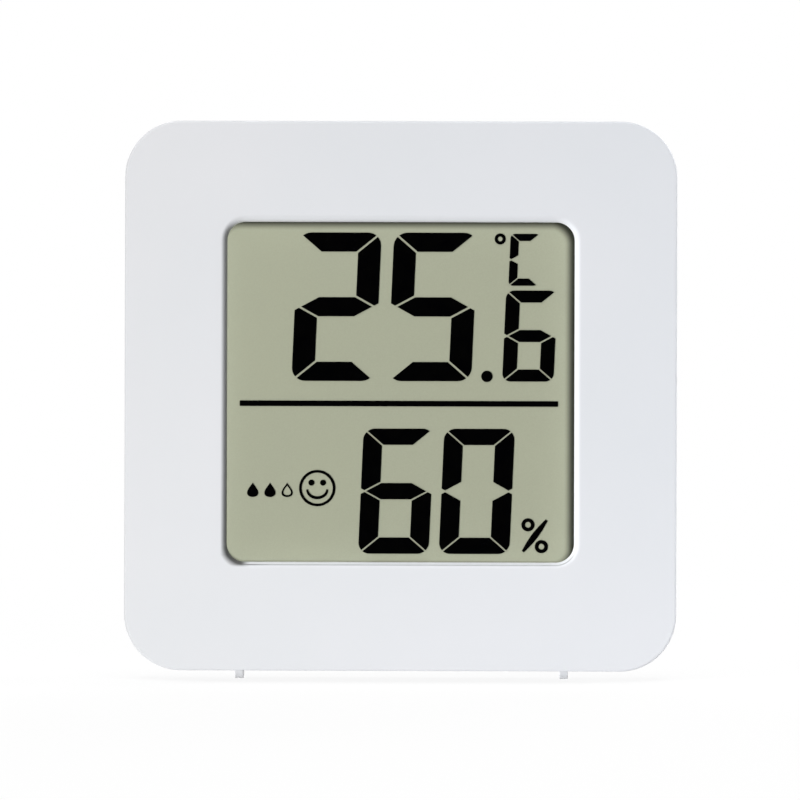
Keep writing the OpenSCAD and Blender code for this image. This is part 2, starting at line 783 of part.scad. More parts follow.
front_case();
rear_cover();
display_window();
front_polarizer();
lcd_front_glass();
lcd_rear_glass();
rear_reflector();
lcd_frame();
zebra_strip();
circuit_board();
controller_blob();
humidity_sensor();
thermistor();
chip_resistors();
chip_capacitors();
unit_switch();
switch_plunger();
unit_button();
coin_cell();
cell_positive_clip();
cell_negative_spring();
battery_door();
stand();
case_screws();
board_screws();
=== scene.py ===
"""Looks of the square temperature and humidity sensor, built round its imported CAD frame."""
import json
import math

import bmesh
import bpy
from mathutils import Matrix, Vector


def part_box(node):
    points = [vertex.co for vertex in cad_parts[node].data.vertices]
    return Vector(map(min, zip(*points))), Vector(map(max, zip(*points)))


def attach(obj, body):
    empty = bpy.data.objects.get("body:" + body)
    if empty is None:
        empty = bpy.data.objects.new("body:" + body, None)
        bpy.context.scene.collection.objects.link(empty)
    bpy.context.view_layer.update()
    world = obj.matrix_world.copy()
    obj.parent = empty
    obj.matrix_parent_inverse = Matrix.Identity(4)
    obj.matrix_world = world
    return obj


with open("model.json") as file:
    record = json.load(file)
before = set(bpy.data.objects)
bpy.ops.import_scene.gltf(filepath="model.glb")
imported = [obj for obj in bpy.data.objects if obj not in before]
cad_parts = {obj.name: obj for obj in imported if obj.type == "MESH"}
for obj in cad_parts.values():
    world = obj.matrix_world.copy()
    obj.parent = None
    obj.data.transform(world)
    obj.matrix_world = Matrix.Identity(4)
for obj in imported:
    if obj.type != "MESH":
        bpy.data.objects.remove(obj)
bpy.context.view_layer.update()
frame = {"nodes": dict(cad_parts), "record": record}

MM = 0.001
IMAGE_SIZE = 800
WHITE = (1.0, 1.0, 1.0, 1.0)

# Where the case lies in the photograph, in pixels
CASE_PIXELS_WIDE = 552.5
CASE_MIDDLE_COLUMN = 400.55
CASE_MIDDLE_ROW = 396.0
CASE_ROLL = math.radians(0.16)

# The camera, in metres
CAMERA_DISTANCE = 0.55
# The stand's ears, at the back, lie a little to the right of where a camera dead ahead would see them
CAMERA_SIDE = 0.0071
CLIP_START = 0.01
CLIP_END = 20

# The display's opening: how far the lens reaches behind its rim, and its corners, in millimetres
LENS_MARGIN = 1.5
OPENING_CORNER = 1.44

case_low, case_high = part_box("front_case")
lens_low, lens_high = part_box("display_window")
film_low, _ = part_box("front_polarizer")
case_middle = (case_low + case_high) / 2
lens_middle = (lens_low + lens_high) / 2
pixel = (case_high.x - case_low.x) / CASE_PIXELS_WIDE


# Camera
def make_camera():
    data = bpy.data.cameras.new("camera")
    camera = bpy.data.objects.new("camera", data)
    bpy.context.scene.collection.objects.link(camera)
    data.lens = data.sensor_width * CAMERA_DISTANCE / (IMAGE_SIZE * pixel)
    data.clip_start = CLIP_START
    data.clip_end = CLIP_END
    half = IMAGE_SIZE / 2
    aim = Vector((
        case_middle.x - (CASE_MIDDLE_COLUMN - half) * pixel,
        case_low.y,
        case_middle.z + (CASE_MIDDLE_ROW - half) * pixel,
    ))
    turn = math.asin(CAMERA_SIDE / CAMERA_DISTANCE)
    away = Vector((math.sin(turn), -math.cos(turn), 0))
    yaw = Matrix.Rotation(turn, 4, "Z")
    level = Matrix.Rotation(math.radians(90), 4, "X")
    roll = Matrix.Rotation(CASE_ROLL, 4, "Z")
    camera.matrix_world = Matrix.Translation(aim + CAMERA_DISTANCE * away) @ yaw @ level @ roll
    bpy.context.scene.camera = camera


make_camera()


# Materials
def linear(red, green, blue):
    """A written screen colour, 0 to 255, as the linear colour that a shader takes, by the sRGB curve."""

    def channel(level):
        share = level / 255
        if share <= 0.04045:
            return share / 12.92
        return ((share + 0.055) / 1.055) ** 2.4

    return (channel(red), channel(green), channel(blue), 1.0)


# The range that most of a noise lies in
NOISE_LOW = 0.3
NOISE_HIGH = 0.7

# The sockets of a Mix node that hold colours, by number, since their names aren't theirs alone
MIX_SHARE = 0
MIX_FIRST = 6
MIX_SECOND = 7
MIX_RESULT = 2

BEVEL_SAMPLES = 6


class Look:
    """A node material that reads each surface's own place at rest, in millimetres."""

    def __init__(self, name, roughness=0.4, metallic=0.0, specular=0.5):
        self.material = bpy.data.materials.new(name)
        self.material.use_nodes = True
        self.nodes = self.material.node_tree.nodes
        self.links = self.material.node_tree.links
        self.shader = self.nodes["Principled BSDF"]
        self.give("Roughness", roughness)
        self.give("Metallic", metallic)
        self.give("Specular IOR Level", specular)
        coordinates = self.nodes.new("ShaderNodeTexCoord")
        scale = self.nodes.new("ShaderNodeVectorMath")
        scale.operation = "SCALE"
        scale.inputs["Scale"].default_value = 1 / MM
        self.links.new(coordinates.outputs["Object"], scale.inputs[0])
        self.place = scale.outputs[0]
        split = self.nodes.new("ShaderNodeSeparateXYZ")
        self.links.new(self.place, split.inputs[0])
        self.x, self.y, self.z = split.outputs

    def put(self, value, socket):
        """Links a node's output to a socket, or writes a plain value there."""
        if isinstance(value, bpy.types.NodeSocket):
            self.links.new(value, socket)
        else:
            socket.default_value = value

    def give(self, name, value):
        self.put(value, self.shader.inputs[name])

    def calc(self, operation, *values):
        node = self.nodes.new("ShaderNodeMath")
        node.operation = operation
        for value, socket in zip(values, node.inputs):
            self.put(value, socket)
        return node.outputs[0]

    def span(self, value, low, high, to_low=0.0, to_high=1.0, kind="LINEAR"):
        """Carries the range from low to high over to another range, and stays inside that one."""
        node = self.nodes.new("ShaderNodeMapRange")
        node.interpolation_type = kind
        given = {"Value": value, "From Min": low, "From Max": high, "To Min": to_low, "To Max": to_high}
        for name, item in given.items():
            self.put(item, node.inputs[name])
        return node.outputs["Result"]

    def ease(self, value, low, high):
        return self.span(value, low, high, kind="SMOOTHSTEP")

    def blend(self, share, first, second, kind="MIX"):
        node = self.nodes.new("ShaderNodeMix")
        node.data_type = "RGBA"
        node.blend_type = kind
        self.put(share, node.inputs[MIX_SHARE])
        self.put(first, node.inputs[MIX_FIRST])
        self.put(second, node.inputs[MIX_SECOND])
        return node.outputs[MIX_RESULT]

    def toned(self, color, tone):
        return self.blend(1.0, color, tone, "MULTIPLY")

    def stretched(self, x, y, z):
        node = self.nodes.new("ShaderNodeVectorMath")
        node.operation = "MULTIPLY"
        self.links.new(self.place, node.inputs[0])
        node.inputs[1].default_value = (x, y, z)
        return node.outputs[0]

    def vector(self, x, y, z):
        node = self.nodes.new("ShaderNodeCombineXYZ")
        for value, socket in zip((x, y, z), node.inputs):
            self.put(value, socket)
        return node.outputs[0]

    def noise(self, per_mm, detail, place=None):
        node = self.nodes.new("ShaderNodeTexNoise")
        node.inputs["Scale"].default_value = per_mm
        node.inputs["Detail"].default_value = detail
        self.links.new(place or self.place, node.inputs["Vector"])
        return node.outputs["Fac"]

    def spread(self, noise, to_low=0.0, to_high=1.0):
        """A noise with its usual range stretched between two values."""
        return self.span(noise, NOISE_LOW, NOISE_HIGH, to_low, to_high)

    def mottle(self, per_mm, detail, to_low=0.0, to_high=1.0):
        return self.spread(self.noise(per_mm, detail), to_low, to_high)

    def waves(self, place, pitch):
        """A sine wave along one direction."""
        return self.calc("SINE", self.calc("MULTIPLY", place, 2 * math.pi / pitch))

    def length(self, first, second):
        first_square = self.calc("MULTIPLY", first, first)
        second_square = self.calc("MULTIPLY", second, second)
        return self.calc("SQRT", self.calc("ADD", first_square, second_square))

    def radius(self, centre):
        """Distance from the axis along Y through a point."""
        side = self.calc("SUBTRACT", self.x, centre.x / MM)
        rise = self.calc("SUBTRACT", self.z, centre.z / MM)
        return self.length(side, rise)

    def past_opening(self, left=0.0, down=0.0):
        """Distance past the outline of the display's opening, moved left and down, below 0 inside it."""
        half_width = (lens_high.x - lens_low.x) / 2 / MM - LENS_MARGIN
        half_height = (lens_high.z - lens_low.z) / 2 / MM - LENS_MARGIN
        side = self.calc("ABSOLUTE", self.calc("SUBTRACT", self.x, lens_middle.x / MM - left))
        rise = self.calc("ABSOLUTE", self.calc("SUBTRACT", self.z, lens_middle.z / MM - down))
        past_side = self.calc("SUBTRACT", side, half_width - OPENING_CORNER)
        past_rise = self.calc("SUBTRACT", rise, half_height - OPENING_CORNER)
        outside = self.length(self.calc("MAXIMUM", past_side, 0.0), self.calc("MAXIMUM", past_rise, 0.0))
        within = self.calc("MINIMUM", self.calc("MAXIMUM", past_side, past_rise), 0.0)
        return self.calc("SUBTRACT", self.calc("ADD", outside, within), OPENING_CORNER)

    def inside(self, value, middle, half, soft=0.03):
        """1 where a place lies within half of the middle, with a soft edge."""
        away = self.calc("ABSOLUTE", self.calc("SUBTRACT", value, middle))
        return self.span(away, half - soft, half + soft, 1.0, 0.0)

    def relief(self, height, depth, edge=0.0):
        """Bump of the given depth in millimetres, over edges that look rounded."""
        node = self.nodes.new("ShaderNodeBump")
        node.inputs["Strength"].default_value = 1.0
        node.inputs["Distance"].default_value = depth * MM
        self.put(height, node.inputs["Height"])
        if edge:
            soft = self.nodes.new("ShaderNodeBevel")
            soft.samples = BEVEL_SAMPLES
            soft.inputs["Radius"].default_value = edge * MM
            self.links.new(soft.outputs[0], node.inputs["Normal"])
        self.give("Normal", node.outputs[0])


# Painted light over the case, lighter towards the bottom, darker at the top and cooler on the right, as
# shares of its colour
PAINTED_LIGHT_LOW = (1.055, 1.055, 1.055, 1.0)
PAINTED_SHADE_HIGH = (0.965, 0.965, 0.965, 1.0)
PAINTED_LIGHT_LEFT = (0.995, 0.995, 0.99, 1.0)
PAINTED_COOL_LIGHT_RIGHT = (1.005, 1.02, 1.035, 1.0)

# Painted shade on the rounding of the case's front edge at the left, a painted highlight on it at the
# right and below, and painted light on the ears below the case, in shares more or less
EDGE_LEFT_PAINTED_SHADE = -0.3
EDGE_RIGHT_PAINTED_HIGHLIGHT = 0.15
EDGE_BELOW_PAINTED_HIGHLIGHT = 0.1
EARS_PAINTED_LIGHT = 0.2

# Places of the edge's painted shade and highlight and of the ears' painted light, in millimetres
EDGE_ROUNDING = 0.15
EDGE_SOFTNESS = 0.006
EDGE_REACH = 4.4
EARS_SOFTNESS = 0.1

# Colour of the painted shade, and the groove between the case's halves, which light hardly reaches, in
# millimetres and its share of painted shade
PAINTED_SHADE_COLOR = linear(58, 58, 55)
PARTING_GAP = 0.15
PARTING_SHADE = 0.65

# Shade down the left side of the display's opening, in shares: at its middle height and at its lower end
RIM_SHADE = 0.69
RIM_SHADE_BELOW = 0.93

# Places of that shade, in millimetres: across the case, then in height from the opening's middle
RIM_SHADE_FROM = -12.3
RIM_SHADE_FULL = -13.1
RIM_SHADE_TILT = 0.05
RIM_MIDDLE = 0.0
RIM_FLAT_FROM = -11.9
RIM_FLAT_FULL = -12.7
RIM_SHADE_WHOLE = -13.45
RIM_SHADE_LOWEST = -13.65

# Reach of that shade past the opening's outline and into its depth, in millimetres
RIM_FLAT = 0.22
RIM_FILLET = 0.44
RIM_DEPTH = 0.85
RIM_DEPTH_SOFTNESS = 0.1

# A thin line of shade along the opening's lower side, darker at its left end, in shares and millimetres
RIM_LINE_SHADE = 0.48
RIM_LINE_SHADE_LEFT = 0.8
RIM_LINE_LEFT = -12.0
RIM_LINE_EVEN = -10.2
RIM_LINE_FROM = -12.4
RIM_LINE_FULL = -13.0
RIM_LINE_PLACE = 0.21
RIM_LINE_HALF = 0.045


def edge_painted_light(look):
    """Painted light on the front edge's rounding, a painted shade on the left and a painted highlight
    elsewhere, and painted light on the ears.
    """
    behind = look.calc("SUBTRACT", look.y, case_low.y / MM)
    half = EDGE_ROUNDING / 2
    rounding = look.inside(behind, half, half - EDGE_SOFTNESS, EDGE_SOFTNESS)
    left_end = case_low.x / MM
    right_end = case_high.x / MM
    bottom = case_low.z / MM
    left = look.span(look.x, left_end, left_end + EDGE_REACH, EDGE_LEFT_PAINTED_SHADE, 0.0)
    right = look.span(look.x, right_end - EDGE_REACH, right_end, 0.0, EDGE_RIGHT_PAINTED_HIGHLIGHT)
    below = look.span(look.z, bottom, bottom + EDGE_REACH, EDGE_BELOW_PAINTED_HIGHLIGHT, 0.0)
    change = look.calc("MULTIPLY", rounding, look.calc("ADD", look.calc("ADD", left, right), below))
    ears = look.span(look.z, bottom - EARS_SOFTNESS, bottom, 1.0 + EARS_PAINTED_LIGHT, 1.0)
    return look.calc("ADD", ears, change)


def rim_shade(look):
    """Shade down the left side of the display's opening and in a thin line along its lower side."""
    past = look.past_opening()
    rise = look.calc("SUBTRACT", look.z, lens_middle.z / MM)
    slanted = look.calc("ADD", look.x, look.calc("MULTIPLY", rise, RIM_SHADE_TILT))
    left = look.ease(slanted, RIM_SHADE_FROM, RIM_SHADE_FULL)
    above = look.span(rise, RIM_SHADE_LOWEST, RIM_SHADE_WHOLE)
    darkest = look.span(rise, RIM_LINE_FROM, RIM_MIDDLE, RIM_SHADE_BELOW, RIM_SHADE)
    flat = look.span(rise, RIM_FLAT_FROM, RIM_FLAT_FULL, 0.0, RIM_FLAT)
    fillet = look.span(past, flat, look.calc("ADD", flat, RIM_FILLET), darkest, 0.0)
    wall = look.calc("MULTIPLY", look.calc("MULTIPLY", left, above), fillet)
    line_shade = look.span(look.x, RIM_LINE_LEFT, RIM_LINE_EVEN, RIM_LINE_SHADE_LEFT, RIM_LINE_SHADE)
    below = look.span(rise, RIM_LINE_FROM, RIM_LINE_FULL, 0.0, line_shade)
    line = look.calc("MULTIPLY", below, look.inside(past, RIM_LINE_PLACE, RIM_LINE_HALF))
    rim_end = case_low.y / MM + RIM_DEPTH
    front = look.span(look.y, rim_end, rim_end + RIM_DEPTH_SOFTNESS, 1.0, 0.0)
    return look.calc("MULTIPLY", look.calc("MAXIMUM", wall, line), front)


def gap_shade(look):
    """Shade in the groove between the case's halves and round the display's opening."""
    groove = look.inside(look.y, case_high.y / MM - PARTING_GAP / 2, PARTING_GAP / 2)
    return look.calc("MAXIMUM", look.calc("MULTIPLY", groove, PARTING_SHADE), rim_shade(look))


# The plastic's waviness, as a share of its grain
WAVE_SHARE = 2.0


def moulded(name, pale, dark, roughness, edge=0.05):
    """Satin moulded plastic: faint random tone, painted light and shade over the case and its front edge,
    painted shade in its groove and round the display's opening, uneven gloss, fine grain over a slow
    waviness.
    """
    look = Look(name)
    plain = look.blend(look.mottle(per_mm=0.07, detail=3.0), dark, pale)
    # Painted light and shade: lighter towards the bottom of the case, darker at its top, cooler at its
    # right
    painted_rise_light = look.blend(look.span(look.z, case_low.z / MM, case_high.z / MM), PAINTED_LIGHT_LOW, PAINTED_SHADE_HIGH)
    painted_side_light = look.blend(look.span(look.x, case_low.x / MM, case_high.x / MM), PAINTED_LIGHT_LEFT, PAINTED_COOL_LIGHT_RIGHT)
    painted_lit = look.toned(look.toned(plain, painted_rise_light), painted_side_light)
    # Painted shade and highlight on the front edge's rounding, and painted light on the ears
    edge_lit = look.toned(painted_lit, edge_painted_light(look))
    # Painted shade in the groove between the case's halves and round the display's opening
    look.give("Base Color", look.blend(gap_shade(look), edge_lit, PAINTED_SHADE_COLOR))
    smoothest, roughest = roughness
    look.give("Roughness", look.mottle(per_mm=0.35, detail=4.0, to_low=smoothest, to_high=roughest))
    grain = look.noise(per_mm=5.0, detail=3.0)
    wave = look.calc("MULTIPLY", look.noise(per_mm=0.5, detail=1.0), WAVE_SHARE)
    look.relief(look.calc("ADD", grain, wave), depth=0.0016, edge=edge)
    return look.material


# The lens: the range of its wiping marks, and how steeply it turns from clear to mirror
SMEAR_LOW = 0.35
SMEAR_HIGH = 0.75
LENS_FALLOFF = 5.0


def clear_lens():
    """Coated acrylic, almost unseen from the front and a mirror at a glance, with faint wiping marks."""
    look = Look("clear_lens", metallic=1.0)
    look.give("Base Color", linear(250, 252, 252))
    smear = look.noise(per_mm=0.4, detail=3.0, place=look.stretched(1.0, 1.0, 0.35))
    look.give("Roughness", look.span(smear, SMEAR_LOW, SMEAR_HIGH, to_low=0.03, to_high=0.12))
    glance = look.nodes.new("ShaderNodeLayerWeight")
    glance.inputs["Blend"].default_value = 0.5
    look.give("Alpha", look.calc("POWER", glance.outputs["Facing"], LENS_FALLOFF))
    return look.material


# Shade along the display's upper and right edges, in millimetres and as a share of its colour
SHADE_LEFT = 0.46
SHADE_DOWN = 0.3
SHADE_START = -0.38
SHADE_END = 0.4
SHADE_DARKEST = 0.08

# A thinner one along its lower edge
LOWER_SHADE_WIDTH = 0.14
LOWER_SHADE = 0.42

FILM_DARK = linear(171, 174, 154)
FILM_PALE = linear(175, 179, 158)
FILM_CLOUD = linear(176, 179, 156)
FILM_CLOUD_SHARE = 0.3
FILM_UNDER_SHADE = linear(171, 174, 153)


def display_film():
    """Grey green reflector with a fine sparkle, dark where the opening's edge shades it."""
    look = Look("display_film", roughness=0.55, specular=0.1)
    cast = look.ease(look.past_opening(SHADE_LEFT, SHADE_DOWN), SHADE_START, SHADE_END)
    past_lifted = look.past_opening(down=-LOWER_SHADE_WIDTH)
    lower = look.span(past_lifted, 0.0, LOWER_SHADE_WIDTH, 0.0, LOWER_SHADE)
    shade = look.calc("MAXIMUM", cast, lower)
    sparkle = look.mottle(per_mm=9.0, detail=2.0)
    cloud = look.mottle(per_mm=0.12, detail=2.0)
    fine = look.blend(sparkle, FILM_DARK, FILM_PALE)
    plain = look.blend(look.calc("MULTIPLY", cloud, FILM_CLOUD_SHARE), fine, FILM_CLOUD)
    dark = tuple(level * SHADE_DARKEST for level in FILM_UNDER_SHADE[:3]) + (1.0,)
    look.give("Base Color", look.blend(shade, plain, dark))
    look.relief(sparkle, depth=0.0008)
    return look.material


def display_glass():
    """Greenish sheet glass with a slightly uneven face."""
    look = Look("display_glass")
    tint = look.mottle(per_mm=0.1, detail=2.0)
    look.give("Base Color", look.blend(tint, linear(196, 206, 198), linear(206, 214, 206)))
    look.give("Roughness", look.mottle(per_mm=0.8, detail=3.0, to_low=0.05, to_high=0.12))
    look.give("Alpha", 0.55)
    look.relief(look.noise(per_mm=0.6, detail=1.0), depth=0.001)
    return look.material


def ink():
    """Dark display segments, a little uneven as switched liquid crystal is."""
    look = Look("segment_ink", roughness=0.7, specular=0.0)
    cloud = look.mottle(per_mm=0.8, detail=2.0)
    look.give("Base Color", look.blend(cloud, linear(2, 2, 3), linear(4, 4, 4)))
    return look.material


LAYER_PITCH = 0.18
LAYER_SOFTNESS = 0.3


def connector_rubber():
    """Thin dark conducting layers between paler insulating ones."""
    look = Look("connector_rubber", roughness=0.7, specular=0.3)
    stripe = look.ease(look.waves(look.x, LAYER_PITCH), -LAYER_SOFTNESS, LAYER_SOFTNESS)
    look.give("Base Color", look.blend(stripe, linear(30, 30, 32), linear(150, 146, 140)))
    look.relief(look.noise(per_mm=6.0, detail=3.0), depth=0.004)
    return look.material


# The board's tracks, as a brick pattern in millimetres, and the weave of its cloth
TRACKS = {"Scale": 1.0, "Mortar Size": 0.12, "Mortar Smooth": 0.3, "Brick Width": 3.2, "Row Height": 0.9}
THREAD_PITCH = 0.4
WEAVE_SHOWN = 0.5
WEAVE_HEIGHT = 0.2


def board_laminate():
    """Green solder mask over straight copper tracks, with the weave of the glass cloth showing faintly."""
    look = Look("board_laminate")
    tracks = look.nodes.new("ShaderNodeTexBrick")
    look.links.new(look.vector(look.x, look.z, 0.0), tracks.inputs["Vector"])
    for name, size in TRACKS.items():
        tracks.inputs[name].default_value = size
    copper = tracks.outputs["Fac"]
    threads = look.calc("MULTIPLY", look.waves(look.x, THREAD_PITCH), look.waves(look.z, THREAD_PITCH))
    weave = look.span(threads, -1.0, 1.0)
    mask = look.blend(look.calc("MULTIPLY", weave, WEAVE_SHOWN), linear(20, 84, 48), linear(30, 98, 58))
    look.give("Base Color", look.blend(copper, mask, linear(58, 136, 84)))
    look.give("Roughness", look.mottle(per_mm=0.7, detail=3.0, to_low=0.22, to_high=0.36))
    cloth = look.calc("MULTIPLY", weave, WEAVE_HEIGHT)
    look.relief(look.calc("ADD", copper, cloth), depth=0.02, edge=0.04)
    return look.material


def black_epoxy():
    """Cured black resin with a skin that is glossy in some places and dull in others."""
    look = Look("black_epoxy")
    cloud = look.mottle(per_mm=0.6, detail=3.0)
    look.give("Base Color", look.blend(cloud, linear(26, 26, 28), linear(38, 38, 41)))
    look.give("Roughness", look.mottle(per_mm=1.2, detail=3.0, to_low=0.25, to_high=0.55))
    look.relief(look.noise(per_mm=2.0, detail=3.0), depth=0.01, edge=0.04)
    return look.material


# The sensing field with its printed comb, in millimetres
FIELD_HALF_WIDTH = 1.75
FIELD_HALF_HEIGHT = 2.5
FIELD_RISE = 0.5
COMB_PITCH = 0.55
COMB_HALF_WIDTH = 1.5

# How soft the comb's edges are, and the ceramic's grain, as shares of the comb's own height
COMB_SOFTNESS = 0.2
CERAMIC_GRAIN = 0.2


def sensor_ceramic():
    """White alumina plate with a comb of printed electrodes under its sensing film."""
    look = Look("sensor_ceramic")
    low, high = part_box("humidity_sensor")
    middle = (low + high) / 2
    field_x = look.inside(look.x, middle.x / MM, FIELD_HALF_WIDTH)
    field_z = look.inside(look.z, middle.z / MM + FIELD_RISE, FIELD_HALF_HEIGHT)
    field = look.calc("MULTIPLY", field_x, field_z)
    teeth = look.ease(look.waves(look.z, COMB_PITCH), -COMB_SOFTNESS, COMB_SOFTNESS)
    bars = look.calc("SUBTRACT", 1.0, look.inside(look.x, middle.x / MM, COMB_HALF_WIDTH))
    metal = look.calc("MULTIPLY", field, look.calc("MAXIMUM", teeth, bars))
    grain = look.mottle(per_mm=7.0, detail=3.0)
    body = look.blend(grain, linear(236, 233, 224), linear(245, 243, 236))
    film = look.blend(field, body, linear(206, 196, 168))
    look.give("Base Color", look.blend(metal, film, linear(92, 84, 72)))
    look.give("Roughness", look.span(metal, 0.0, 1.0, to_low=0.55, to_high=0.35))
    rough = look.calc("MULTIPLY", grain, CERAMIC_GRAIN)
    look.relief(look.calc("ADD", metal, rough), depth=0.012, edge=0.03)
    return look.material


CHIP_END = 0.35


def chip(name, node, pale, dark):
    """A fired chip body between two tinned ends."""
    look = Look(name)
    low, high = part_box(node)
    middle = (low.x + high.x) / 2 / MM
    half = (high.x - low.x) / 2 / MM - CHIP_END
    tin = look.calc("SUBTRACT", 1.0, look.inside(look.x, middle, half, soft=0.02))
    grain = look.mottle(per_mm=6.0, detail=3.0)
    body = look.blend(grain, dark, pale)
    look.give("Base Color", look.blend(tin, body, linear(206, 206, 208)))
    look.give("Metallic", tin)
    look.give("Roughness", look.span(tin, 0.0, 1.0, to_low=0.5, to_high=0.32))
    look.relief(grain, depth=0.008, edge=0.04)
    return look.material


def worked_metal(look, marks, cloud, pale, dark, roughness):
    """Metal with duller patches, whose gloss and relief follow the marks of its making."""
    look.give("Base Color", look.blend(cloud, dark, pale))
    look.give("Roughness", look.spread(marks, *roughness))
    look.relief(marks, depth=0.004, edge=0.05)
    return look.material


def turned_metal(name, node, pale, dark, roughness):
    """Plated steel with the fine rings that turning or pressing leaves round its axis."""
    look = Look(name, metallic=1.0)
    low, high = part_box(node)
    away = look.radius((low + high) / 2)
    rings = look.noise(per_mm=7.0, detail=3.0, place=look.vector(away, 0.0, 0.0))
    return worked_metal(look, rings, look.mottle(per_mm=0.4, detail=4.0), pale, dark, roughness)


def rolled_metal(name, pale, dark, roughness):
    """Plated spring strip or screw, with short rolling marks and duller patches."""
    look = Look(name, metallic=1.0)
    marks = look.noise(per_mm=3.0, detail=4.0, place=look.stretched(0.4, 1.0, 4.0))
    return worked_metal(look, marks, look.mottle(per_mm=0.9, detail=4.0), pale, dark, roughness)


slot_looks = {
    "case_plastic": moulded(
        "case_plastic",
        pale=linear(231, 232, 236), dark=linear(228, 230, 234), roughness=(0.36, 0.46), edge=0.06,
    ),
    "button_plastic": moulded(
        "button_plastic",
        pale=linear(222, 223, 227), dark=linear(218, 220, 224), roughness=(0.38, 0.5),
    ),
    "carrier_plastic": moulded(
        "carrier_plastic",
        pale=linear(240, 240, 238), dark=linear(235, 235, 233), roughness=(0.4, 0.5),
    ),
    "clear_lens": clear_lens(),
    "display_film": display_film(),
    "display_glass": display_glass(),
    "connector_rubber": connector_rubber(),
    "board_laminate": board_laminate(),
    "black_epoxy": black_epoxy(),
    "sensor_ceramic": sensor_ceramic(),
    "resistor_body": chip(
        "resistor_body", "chip_resistors",
        pale=linear(52, 52, 54), dark=linear(40, 40, 42),
    ),
    "capacitor_body": chip(
        "capacitor_body", "chip_capacitors",
        pale=linear(178, 150, 112), dark=linear(158, 130, 94),
    ),
    "cell_steel": turned_metal(
        "cell_steel", "coin_cell",
        pale=linear(214, 215, 218), dark=linear(200, 201, 205), roughness=(0.22, 0.42),
    ),
    "contact_steel": rolled_metal(
        "contact_steel",
        pale=linear(222, 218, 208), dark=linear(204, 200, 190), roughness=(0.25, 0.45),
    ),
    "screw_steel": rolled_metal(
        "screw_steel",
        pale=linear(200, 202, 206), dark=linear(176, 178, 184), roughness=(0.28, 0.48),
    ),
}

for part in frame["record"]["subparts"]:
    node = frame["nodes"][part["node"]]
    node.data.materials.clear()
    node.data.materials.append(slot_looks[part["material_slot"]])


class Plates:
    """Thin closed plates of one piece between two depths, drawn in millimetres from a given middle."""

    def __init__(self, front, back, middle):
        self.form = bmesh.new()
        self.front = front
        self.back = back
        self.middle = middle

    def loop(self, points, depth):
        return [
            self.form.verts.new((self.middle.x + x * MM, depth, self.middle.z + z * MM)) for x, z in points
        ]

    def ladder(self, first, second, closed):
        """Faces between two rows of points."""
        last = len(first) if closed else len(first) - 1
        for i in range(last):
            j = (i + 1) % len(first)
            self.form.faces.new((first[i], first[j], second[j], second[i]))

    def plate(self, outline):
        front = self.loop(outline, self.front)
        back = self.loop(outline, self.back)
        self.form.faces.new(front)
        self.form.faces.new(back[::-1])
        self.ladder(front, back, closed=True)

    def ring(self, outer, inner):
        outer_front = self.loop(outer, self.front)
        inner_front = self.loop(inner, self.front)
        outer_back = self.loop(outer, self.back)
        inner_back = self.loop(inner, self.back)
        self.ladder(outer_front, inner_front, closed=True)
        self.ladder(outer_back, inner_back, closed=True)
        self.ladder(outer_front, outer_back, closed=True)
        self.ladder(inner_front, inner_back, closed=True)

    def strip(self, upper, lower):
        upper_front = self.loop(upper, self.front)
        lower_front = self.loop(lower, self.front)
        upper_back = self.loop(upper, self.back)
        lower_back = self.loop(lower, self.back)
        self.ladder(upper_front, lower_front, closed=False)
        self.ladder(upper_back, lower_back, closed=False)
        self.ladder(upper_front + lower_front[::-1], upper_back + lower_back[::-1], closed=True)

    def piece(self, name, look, body, slot):
        bmesh.ops.recalc_face_normals(self.form, faces=self.form.faces)
        mesh = bpy.data.meshes.new(name)
        self.form.to_mesh(mesh)
        self.form.free()
        mesh.materials.append(look)
        made = bpy.data.objects.new(name, mesh)
        bpy.context.scene.collection.objects.link(made)
        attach(made, body)


def circle(centre, radius, steps=48):
    return [
        (
            centre[0] + radius * math.cos(2 * math.pi * i / steps),
            centre[1] + radius * math.sin(2 * math.pi * i / steps),
        )
        for i in range(steps)
    ]


def rounded_outline(half_width, half_height, radius, steps=8):
    points = []
    for quarter, (sign_x, sign_z) in enumerate(((1, 1), (-1, 1), (-1, -1), (1, -1))):
        for i in range(steps + 1):
            turn = math.pi / 2 * (quarter + i / steps)
            x = sign_x * (half_width - radius) + radius * math.cos(turn)
            z = sign_z * (half_height - radius) + radius * math.sin(turn)
            points.append((x, z))
    return points


def clip(outline, point, normal, spare):
    """Keeps the part of a convex outline that lies at least spare beyond a line, on its normal's side."""
    size = math.hypot(*normal)

    def side(place):
        along = (place[0] - point[0]) * normal[0] + (place[1] - point[1]) * normal[1]
        return along / size - spare

    kept = []
    for i, here in enumerate(outline):
        before = outline[i - 1]
        side_here = side(here)
        side_before = side(before)
        if side_here * side_before < 0:
            share = side_before / (side_before - side_here)
            kept.append(tuple(before[k] + share * (here[k] - before[k]) for k in (0, 1)))
        if side_here >= 0:
            kept.append(here)
    return kept


# Display segments: thin plates in the air between the lens and the film
INK_LIFT = 0.005 * MM
INK_THICKNESS = 0.03 * MM
ink_back = film_low.y - INK_LIFT
ink_front = ink_back - INK_THICKNESS
ink_look = ink()

# Proportions of a digit, as shares of its height
DIGIT_HALF_WIDTH = 0.28
DIGIT_HALF_HEIGHT = 0.5
DIGIT_BAR = 0.1236
DIGIT_POST = 0.147
DIGIT_CORNER = 0.092
DIGIT_LEAN = 0.0425
WAIST_INSET = 0.025
WAIST_SLOPE = 0.5455

# The gap between segments, wider in larger signs, and how far each segment's edge spreads, in millimetres
SMALL_SEGMENT_GAP = 0.09
SEGMENT_GAP = 0.125
LARGE_SEGMENT_GAP = 0.165
SEGMENT_SPREAD = 0.035

DIGITS = {"0": "abcdef", "2": "abged", "5": "afgcd", "6": "afgecd", "C": "adef"}


